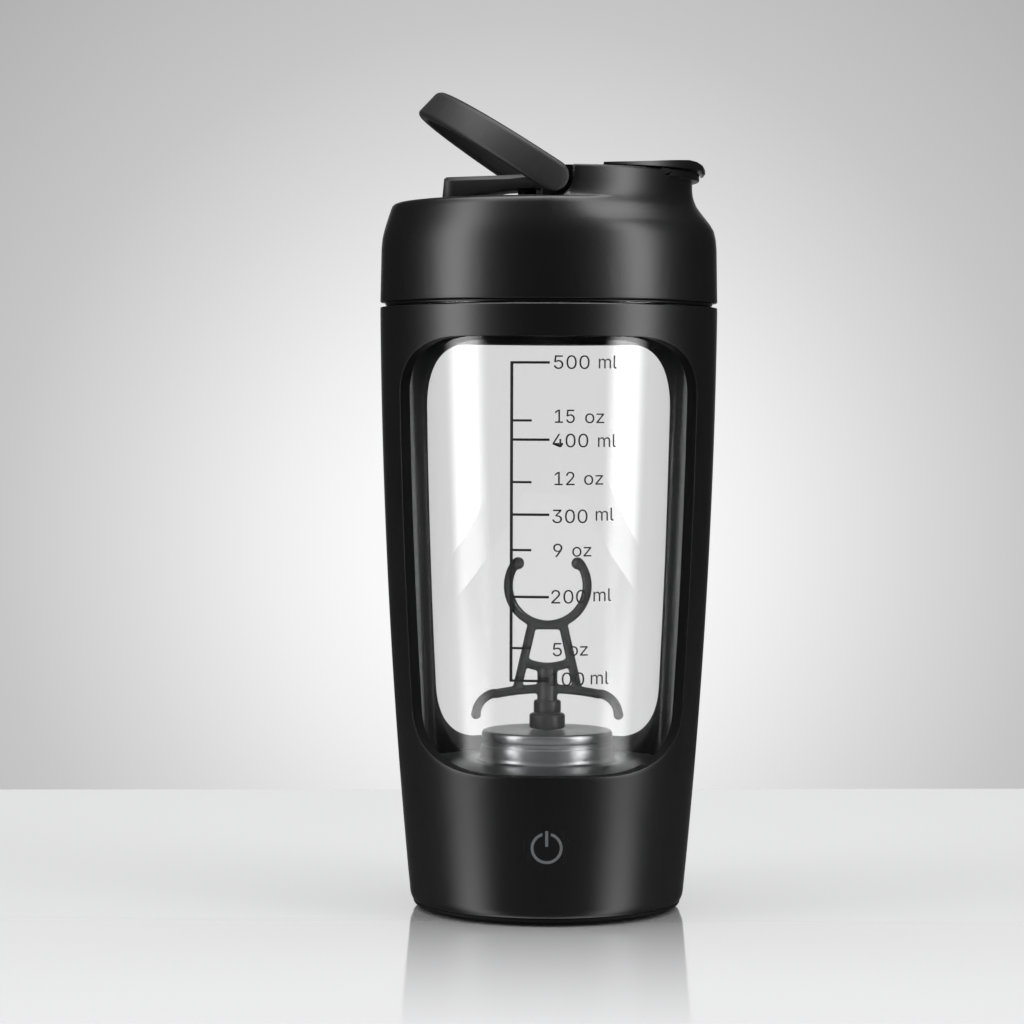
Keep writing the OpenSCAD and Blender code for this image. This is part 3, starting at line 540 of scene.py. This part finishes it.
# a broad chamfer along both sides of the vent flap's top
flap = {"topAbove": 198.85, "sideBeyond": 9.4, "front": -27.7, "back": -2, "chamfer": 1.1}
ventFlap = mergedCopy("ventFlap", "vent_flap")
selectWhere(ventFlap, "EDGE", lambda p: p.z > flap["topAbove"] and abs(p.y) > flap["sideBeyond"]
            and flap["front"] < p.x < flap["back"])
bpy.ops.mesh.bevel(offset=flap["chamfer"] * mm, segments=1, affect="EDGES")
bpy.ops.object.mode_set(mode="OBJECT")
rounded(ventFlap, softEdges["vent_flap"], 2, 28)
settle(ventFlap, "ventFlap")
carryLoop = softened("carryLoop", "carry_loop")
powerButton = softened("powerButton", "power_button")
baseCover = softened("baseCover", "base_cover")
footRing = softened("footRing", "foot_ring", 2)
driveCoupling = softened("driveCoupling", "drive_coupling", 2)
hubCollar = softened("hubCollar", "hub_collar", 2)
print("lid and small pieces made")


# finishes

def colour(hexText):
    values = [int(hexText[i:i + 2], 16) / 255 for i in (1, 3, 5)]
    return [v / 12.92 if v <= 0.04045 else ((v + 0.055) / 1.055) ** 2.4 for v in values] + [1.0]


def addNode(tree, kind, settings=None, links=None):
    node = tree.nodes.new(kind)
    for key, value in (settings or {}).items():
        if isinstance(key, int) or key in node.inputs:
            node.inputs[key].default_value = value
        else:
            setattr(node, key, value)
    for key, source in (links or {}).items():
        tree.links.new(source, node.inputs[key])
    return node


def newFinish(name):
    material = bpy.data.materials.new(name)
    material.use_nodes = True
    tree = material.node_tree
    for node in list(tree.nodes):
        if node.type != "OUTPUT_MATERIAL":
            tree.nodes.remove(node)
    place = addNode(tree, "ShaderNodeTexCoord").outputs["Object"]
    return material, tree, tree.nodes["Material Output"], place


def grained(name, look):
    # a moulded or painted surface: slight cloudiness of colour and gloss, and a fine grain
    material, tree, output, place = newFinish(name)
    cloud = addNode(tree, "ShaderNodeTexNoise", {"Scale": 1000 / look["cloud"], "Detail": 3.0}, {"Vector": place})
    grain = addNode(tree, "ShaderNodeTexNoise", {"Scale": 1000 / look["grain"], "Detail": 2.0}, {"Vector": place})
    base = addNode(tree, "ShaderNodeMix", {
        "data_type": "RGBA", 6: colour(look["colour"]), 7: colour(look["second"])}, {0: cloud.outputs["Fac"]})
    gloss = addNode(tree, "ShaderNodeMapRange", {"To Min": look["rough"][0], "To Max": look["rough"][1]},
                    {"Value": cloud.outputs["Fac"]})
    bump = addNode(tree, "ShaderNodeBump", {"Strength": look["bump"], "Distance": look["depth"] * mm},
                   {"Height": grain.outputs["Fac"]})
    shader = addNode(tree, "ShaderNodeBsdfPrincipled", {
        "IOR": look["ior"], "Metallic": look.get("metal", 0.0), "Specular IOR Level": look.get("specular", 0.5)},
        {"Base Color": base.outputs[2], "Roughness": gloss.outputs["Result"], "Normal": bump.outputs["Normal"]})
    tree.links.new(shader.outputs["BSDF"], output.inputs["Surface"])
    return material


finishes = {
    # ABS, moulded in a spark-textured tool: satin black that spreads a lamp into a broad soft band
    "absSparkTextured": {"colour": "#080808", "second": "#0a0a0b", "cloud": 18, "grain": 0.45, "bump": 0.35,
                         "depth": 0.05, "rough": (0.31, 0.37), "ior": 1.54},
    # painted shade: the cut faces of the windows get a darker, nearly glossless copy of the shell's black, so they
    # stay black beside the bright cup instead of showing the lamps
    "absCutFacesPaintedShade": {"colour": "#060606", "second": "#090909", "cloud": 9, "grain": 0.4, "bump": 0.3,
                   "depth": 0.04, "rough": (0.6, 0.7), "ior": 1.54, "specular": 0.1},
    # the loop and flap come from another tool, a shade lighter and duller
    "polypropyleneMoulded": {"colour": "#131314", "second": "#18181a", "cloud": 14, "grain": 0.5, "bump": 0.35,
                             "depth": 0.05, "rough": (0.48, 0.56), "ior": 1.49},
    # the bottom cover: painted shade, a darker and duller copy of the black for the shade under the bottle
    "absBasePaintedShade": {"colour": "#030303", "second": "#050505", "cloud": 12, "grain": 0.4, "bump": 0.3,
                       "depth": 0.05, "rough": (0.55, 0.65), "ior": 1.54, "specular": 0.15},
    # glass-filled nylon, smooth with a slight sheen on the bars
    "nylonMoulded": {"colour": "#151516", "second": "#1a1b1c", "cloud": 6, "grain": 0.35, "bump": 0.2,
                     "depth": 0.03, "rough": (0.26, 0.34), "ior": 1.53},
    # acetal, turned-looking and slightly waxy
    "acetalMoulded": {"colour": "#070707", "second": "#0a0a0b", "cloud": 5, "grain": 0.4, "bump": 0.15,
                      "depth": 0.03, "rough": (0.28, 0.36), "ior": 1.48},
    # pad-printed ink, opaque and flat black
    "inkPadPrinted": {"colour": "#101010", "second": "#161616", "cloud": 3, "grain": 0.25, "bump": 0.1,
                      "depth": 0.01, "rough": (0.45, 0.55), "ior": 1.5},
    # laser-marked symbol, grey where the black was bleached
    "iconLaserMarked": {"colour": "#5c5d60", "second": "#67686a", "cloud": 2, "grain": 0.3, "bump": 0.2,
                        "depth": 0.02, "rough": (0.5, 0.6), "ior": 1.54},
    # silicone rubber, moulded: soft dull sheen
    "siliconeGrey": {"colour": "#6e7073", "second": "#787a7d", "cloud": 8, "grain": 0.6, "bump": 0.2,
                     "depth": 0.03, "rough": (0.5, 0.62), "ior": 1.41},
    "siliconeDark": {"colour": "#2c2d2f", "second": "#343538", "cloud": 8, "grain": 0.6, "bump": 0.2,
                     "depth": 0.03, "rough": (0.5, 0.62), "ior": 1.41},
    "siliconeWhite": {"colour": "#dcdcd8", "second": "#e6e6e2", "cloud": 8, "grain": 0.6, "bump": 0.2,
                      "depth": 0.03, "rough": (0.45, 0.58), "ior": 1.41},
    # thermoplastic rubber of the foot, dull and slightly dusty
    "rubberFoot": {"colour": "#1d1d1d", "second": "#2a2a29", "cloud": 4, "grain": 0.5, "bump": 0.5,
                   "depth": 0.08, "rough": (0.7, 0.85), "ior": 1.5},
    # polypropylene liner and motor holder, plain and half matt
    "linerMoulded": {"colour": "#3a3b3d", "second": "#424345", "cloud": 12, "grain": 0.5, "bump": 0.25,
                     "depth": 0.04, "rough": (0.42, 0.5), "ior": 1.49},
    "holderMoulded": {"colour": "#4a4b4e", "second": "#535457", "cloud": 12, "grain": 0.5, "bump": 0.25,
                      "depth": 0.04, "rough": (0.45, 0.55), "ior": 1.49},
    # zinc-plated steel, faintly mottled
    "steelZincPlated": {"colour": "#a9abad", "second": "#b7b9ba", "cloud": 3, "grain": 0.4, "bump": 0.15,
                        "depth": 0.02, "rough": (0.28, 0.4), "ior": 1.5, "metal": 1.0},
    # ground stainless pins and shaft, bright with a fine directionless grind
    "steelGround": {"colour": "#c0c1c2", "second": "#cbcccd", "cloud": 2, "grain": 0.2, "bump": 0.12,
                    "depth": 0.01, "rough": (0.18, 0.28), "ior": 1.5, "metal": 1.0},
    # shrink sleeve over the cells, glossy blue film
    "sleeveShrunk": {"colour": "#24518a", "second": "#2a5a96", "cloud": 9, "grain": 1.2, "bump": 0.2,
                     "depth": 0.05, "rough": (0.2, 0.3), "ior": 1.53},
    # solder mask on the boards, green and half gloss
    "boardSolderMask": {"colour": "#0f5a34", "second": "#13653c", "cloud": 4, "grain": 0.8, "bump": 0.3,
                        "depth": 0.03, "rough": (0.3, 0.4), "ior": 1.55},
    # phenolic body of the push switch
    "switchMoulded": {"colour": "#3b3936", "second": "#45423f", "cloud": 3, "grain": 0.4, "bump": 0.2,
                      "depth": 0.03, "rough": (0.4, 0.5), "ior": 1.55},
}
made = {name: grained(name, look) for name, look in finishes.items()}


def copolyesterClear():
    # clear copolyester, injection moulded and polished: wet-looking, faintly wavy, its shadow almost clear
    material, tree, output, place = newFinish("copolyesterMouldedClear")
    wave = addNode(tree, "ShaderNodeTexNoise", {"Scale": 1000 / 24, "Detail": 1.0}, {"Vector": place})
    bump = addNode(tree, "ShaderNodeBump", {"Strength": 0.03, "Distance": 0.4 * mm}, {"Height": wave.outputs["Fac"]})
    gloss = addNode(tree, "ShaderNodeMapRange", {"To Min": 0.0, "To Max": 0.02}, {"Value": wave.outputs["Fac"]})
    shader = addNode(tree, "ShaderNodeBsdfPrincipled", {
        "Base Color": colour("#fdfdfd"), "IOR": 1.54, "Transmission Weight": 1.0},
        {"Roughness": gloss.outputs["Result"], "Normal": bump.outputs["Normal"]})
    clear = addNode(tree, "ShaderNodeBsdfTransparent", {"Color": colour("#f6f7f7")})
    path = addNode(tree, "ShaderNodeLightPath")
    both = addNode(tree, "ShaderNodeMixShader", links={0: path.outputs["Is Shadow Ray"]})
    tree.links.new(shader.outputs["BSDF"], both.inputs[1])
    tree.links.new(clear.outputs["BSDF"], both.inputs[2])
    tree.links.new(both.outputs["Shader"], output.inputs["Surface"])
    return material


def stainlessPolished():
    # stainless steel, pressed and polished: soft lamp streaks and faint turning lines round the axis
    material, tree, output, place = newFinish("stainlessPressedPolished")
    rings = addNode(tree, "ShaderNodeTexWave", {"wave_type": "RINGS", "rings_direction": "Z", "Scale": 1000 / 9,
                                                "Distortion": 0.6, "Detail": 2.0, "Detail Scale": 3.0},
                    {"Vector": place})
    bump = addNode(tree, "ShaderNodeBump", {"Strength": 0.05, "Distance": 0.05 * mm},
                   {"Height": rings.outputs["Fac"]})
    cloud = addNode(tree, "ShaderNodeTexNoise", {"Scale": 1000 / 12, "Detail": 3.0}, {"Vector": place})
    gloss = addNode(tree, "ShaderNodeMapRange", {"To Min": 0.28, "To Max": 0.38}, {"Value": cloud.outputs["Fac"]})
    tint = addNode(tree, "ShaderNodeMix", {"data_type": "RGBA", 6: colour("#8e8f90"), 7: colour("#999a9b")},
                   {0: cloud.outputs["Fac"]})
    shader = addNode(tree, "ShaderNodeBsdfPrincipled", {"Metallic": 1.0},
                     {"Base Color": tint.outputs[2], "Roughness": gloss.outputs["Result"],
                      "Normal": bump.outputs["Normal"]})
    tree.links.new(shader.outputs["BSDF"], output.inputs["Surface"])
    return material


made["copolyesterMouldedClear"] = copolyesterClear()
made["stainlessPressedPolished"] = stainlessPolished()


def dress(piece, finish):
    if piece == outerShell:
        # its cut faces keep a slot of their own, a darker copy of the black painted with shade
        piece.data.materials[0] = made[finish]
        piece.data.materials[1] = made["absCutFacesPaintedShade"]
        return
    piece.data.materials.clear()
    piece.data.materials.append(made[finish])


# what each new piece is made of, the body it moves with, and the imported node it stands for
newPieces = [
    (outerShell, "absSparkTextured", "bottle", "outer_shell", "shell"),
    (clearCup, "copolyesterMouldedClear", "bottle", "clear_cup", "clear"),
    (floorPlate, "stainlessPressedPolished", "bottle", "floor_plate", "polished_steel"),
    (baseCover, "absBasePaintedShade", "bottle", "base_cover", "base_black"),
    (footRing, "rubberFoot", "bottle", "foot_ring", "foot_rubber"),
    (scaleNumerals, "inkPadPrinted", "bottle", None, "ink"),
    (lidShell, "absSparkTextured", "lid", "lid_shell", "shell"),
    (flipCap, "absSparkTextured", "cap", "flip_cap", "shell"),
    (carryLoop, "polypropyleneMoulded", "loop", "carry_loop", "loop_black"),
    (ventFlap, "polypropyleneMoulded", "flap", "vent_flap", "loop_black"),
    (powerButton, "absSparkTextured", "button", "power_button", "shell"),
    (driveCoupling, "acetalMoulded", "rotor", "drive_coupling", "coupling_black"),
    (stirrer, "nylonMoulded", "whisk", "stirrer", "stirrer_dark"),
    (hubCollar, "acetalMoulded", "whisk", "hub_collar", "coupling_black"),
]
for piece, finish, body, node, slotName in newPieces:
    dress(piece, finish)
    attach(piece, body)
    if node:
        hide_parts(node)

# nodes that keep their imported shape
keptNodes = {
    "scale_print": "inkPadPrinted", "button_icon": "iconLaserMarked", "floor_gasket": "siliconeGrey",
    "dome_gasket": "siliconeGrey", "shaft_seal": "siliconeDark", "motor_holder": "holderMoulded",
    "motor_can": "steelZincPlated", "motor_screws": "steelZincPlated", "battery_cells": "sleeveShrunk",
    "control_board": "boardSolderMask", "charge_socket": "steelZincPlated", "switch_board": "boardSolderMask",
    "push_switch": "switchMoulded", "base_screws": "steelZincPlated", "lid_liner": "linerMoulded",
    "lid_gasket": "siliconeWhite", "loop_pins": "steelGround", "cap_pin": "steelGround", "flap_pin": "steelGround",
    "cap_plug": "siliconeDark", "vent_plug": "siliconeDark", "motor_shaft": "steelGround",
    "port_plug": "siliconeDark",
}
for node, finish in keptNodes.items():
    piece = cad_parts[node]
    if not piece.material_slots:
        piece.data.materials.append(made[finish])
    for place in piece.material_slots:
        place.material = made[finish]
print("finishes given")


# floor, background, lamps and camera

room = {
    "floorBack": 0.251, "floorFront": -1.1, "floorHalf": 0.42, "floorTurn": 2.6,
    # painted shade: the table top is a shade darker behind the bottle; its mirror image of the bottle fades towards
    # the front
    # painted shade: to every ray but camera and transmission rays the floor is dark grey, so it throws little bounce
    # light or reflection onto the bottle's lower body
    "floorFarPaintedShade": "#b3b3b4", "floorNear": "#b7b7b8", "floorPaintedDarkOffCamera": "#3c3c3c", "nearEdge": -0.035, "farEdge": 0.03,
    "floorRough": 0.08, "mirror": (0.62, 0.05), "mirrorFrom": -0.02, "mirrorTo": -0.165,
    "glowDirection": (-0.0094, 1.0, -0.0458), "mirroredDirection": (0, 1, 0.11), "ambient": 0.3,
    # the lit backdrop, brightest behind the bottle: angle from the middle in radians, and its grey
    "glow": [(0.0, "#fcfcfc"), (0.05, "#f9f9f9"), (0.08, "#efefef"), (0.13, "#d8d8d8"), (0.168, "#c7c7c7"),
             (0.25, "#afafaf")],
    # what shows through the clear cup, seen past its curved edges
    "through": [(0.0, "#ebebeb"), (0.36, "#ebebeb"), (0.5, "#404040"), (1.2, "#161616")],
    # what gloss sees of the room: the backdrop, then the dark of the studio
    "mirrored": [(0.0, "#ececec"), (0.2, "#e2e2e2"), (0.34, "#303030"), (1.2, "#161616")],
}
startFresh()
bpy.ops.mesh.primitive_plane_add(size=1, location=(0, (room["floorBack"] + room["floorFront"]) / 2, 0))
floor = bpy.context.object
floor.name = "floor"
bpy.ops.transform.resize(value=(2 * room["floorHalf"], room["floorBack"] - room["floorFront"], 1))
bpy.ops.object.transform_apply(location=True, rotation=True, scale=True)
floor.data.transform(Matrix.Rotation(math.radians(room["floorTurn"]), 4, "Z"))
floorFinish, tree, output, place = newFinish("tableLacqueredWhite")
path = addNode(tree, "ShaderNodeLightPath")
looked = addNode(tree, "ShaderNodeMath", {"operation": "ADD", "use_clamp": True},
                 {0: path.outputs["Is Camera Ray"], 1: path.outputs["Is Transmission Ray"]})
spot = addNode(tree, "ShaderNodeSeparateXYZ", links={"Vector": place})
# painted shade: the floor's tone darkens from its near grey in front of the bottle to its far grey behind it
depth = addNode(tree, "ShaderNodeMapRange", {"From Min": room["nearEdge"], "From Max": room["farEdge"],
                                             "interpolation_type": "SMOOTHSTEP"}, {"Value": spot.outputs["Y"]})
shade = addNode(tree, "ShaderNodeMix", {"data_type": "RGBA", 6: colour(room["floorNear"]),
                                        7: colour(room["floorFarPaintedShade"])}, {0: depth.outputs["Result"]})
# painted shade: rays other than camera and transmission rays see the floor dark grey
tone = addNode(tree, "ShaderNodeMix", {"data_type": "RGBA", 6: colour(room["floorPaintedDarkOffCamera"])},
               {0: looked.outputs["Value"], 7: shade.outputs[2]})
fade = addNode(tree, "ShaderNodeMapRange", {"From Min": room["mirrorFrom"], "From Max": room["mirrorTo"],
                                            "To Min": room["mirror"][0], "To Max": room["mirror"][1]},
               {"Value": spot.outputs["Y"]})
dull = addNode(tree, "ShaderNodeBsdfDiffuse", links={"Color": tone.outputs[2]})
gloss = addNode(tree, "ShaderNodeBsdfGlossy", {"Color": (1, 1, 1, 1), "Roughness": room["floorRough"]})
both = addNode(tree, "ShaderNodeMixShader", links={0: fade.outputs["Result"]})
tree.links.new(dull.outputs["BSDF"], both.inputs[1])
tree.links.new(gloss.outputs["BSDF"], both.inputs[2])
tree.links.new(both.outputs["Shader"], output.inputs["Surface"])
floor.data.materials.append(floorFinish)

world = bpy.data.worlds.new("studio")
bpy.context.scene.world = world
world.use_nodes = True
tree = world.node_tree
for node in list(tree.nodes):
    tree.nodes.remove(node)
direction = addNode(tree, "ShaderNodeTexCoord").outputs["Generated"]
unit = addNode(tree, "ShaderNodeVectorMath", {"operation": "NORMALIZE"}, {0: direction})


def glowRamp(towards, stops):
    aim = Vector(towards).normalized()
    along = addNode(tree, "ShaderNodeVectorMath", {"operation": "DOT_PRODUCT", 1: aim}, {0: unit.outputs["Vector"]})
    angle = addNode(tree, "ShaderNodeMath", {"operation": "ARCCOSINE"}, {0: along.outputs["Value"]})
    reach = stops[-1][0]
    share = addNode(tree, "ShaderNodeMath", {"operation": "DIVIDE", 1: reach, "use_clamp": True},
                    {0: angle.outputs["Value"]})
    ramp = addNode(tree, "ShaderNodeValToRGB", links={0: share.outputs["Value"]})
    while len(ramp.color_ramp.elements) < len(stops):
        ramp.color_ramp.elements.new(0.5)
    for stop, (position, hexText) in zip(ramp.color_ramp.elements, stops):
        stop.position = position / reach
        stop.color = colour(hexText)
    return addNode(tree, "ShaderNodeBackground", {"Strength": 1.0}, {"Color": ramp.outputs["Color"]})


path = addNode(tree, "ShaderNodeLightPath")
glow = addNode(tree, "ShaderNodeBackground", {"Color": (1, 1, 1, 1), "Strength": room["ambient"]})
for ray, background in [("Is Glossy Ray", glowRamp(room["mirroredDirection"], room["mirrored"])),
                        ("Is Transmission Ray", glowRamp(room["glowDirection"], room["through"])),
                        ("Is Camera Ray", glowRamp(room["glowDirection"], room["glow"]))]:
    both = addNode(tree, "ShaderNodeMixShader", links={0: path.outputs[ray]})
    tree.links.new(glow.outputs[0], both.inputs[1])
    tree.links.new(background.outputs[0], both.inputs[2])
    glow = both
addNode(tree, "ShaderNodeOutputWorld", links={"Surface": glow.outputs[0]})

# softboxes: place, aim, width and height in metres, watts, and how far the light fades in from each edge
softboxes = {
    "leftBox": ((-1.13, -0.52, 0.45), (0, 0, 0.45), 0.85, 1.9, 30, 0.4),
    "rightBox": ((1.09, -0.6, 0.45), (0, 0, 0.45), 0.85, 1.9, 30, 0.4),
    "topBox": ((0.0, -0.05, 1.55), (0, 0, 0.1), 2.6, 1.1, 42, 0.2),
}
for name, (where, target, width, height, watts, fade) in softboxes.items():
    startFresh()
    bpy.ops.object.light_add(type="AREA", location=where)
    lamp = bpy.context.object
    lamp.name = name
    lamp.data.shape = "RECTANGLE"
    lamp.data.size = width
    lamp.data.size_y = height
    lamp.data.energy = watts
    lamp.rotation_euler = (Vector(target) - Vector(where)).to_track_quat("-Z", "Y").to_euler()
    # a diffuser: bright in the middle, fading out to the sides
    lamp.data.use_nodes = True
    tree = lamp.data.node_tree
    across = addNode(tree, "ShaderNodeSeparateXYZ",
                     links={0: addNode(tree, "ShaderNodeNewGeometry").outputs["Parametric"]})
    edge = addNode(tree, "ShaderNodeMath", {"operation": "PINGPONG", 1: 0.5}, {0: across.outputs["X"]})
    soft = addNode(tree, "ShaderNodeMapRange", {"From Min": 0.0, "From Max": fade, "To Min": 0.0, "To Max": 1.0,
                                                "interpolation_type": "SMOOTHSTEP"}, {"Value": edge.outputs[0]})
    tree.links.new(soft.outputs["Result"], tree.nodes["Emission"].inputs["Strength"])

# the camera stands where the photo was taken from
view = {"lens": 108.1, "sensor": 36, "place": (0, -0.842, 0.139), "turnZ": 0.67, "lookDown": 2.1, "roll": 0.2}
startFresh()
bpy.ops.object.camera_add()
camera = bpy.context.object
camera.name = "photoCamera"
camera.data.sensor_width = view["sensor"]
camera.data.lens = view["lens"]
camera.data.clip_start = 0.05
camera.data.clip_end = 30
turn = (Matrix.Rotation(math.radians(view["turnZ"]), 4, "Z")
        @ Matrix.Rotation(math.radians(90 - view["lookDown"]), 4, "X")
        @ Matrix.Rotation(math.radians(view["roll"]), 4, "Z"))
camera.matrix_world = Matrix.Translation(view["place"]) @ turn
bpy.context.scene.camera = camera
bpy.context.scene.view_settings.view_transform = "Standard"

print("scene ready")
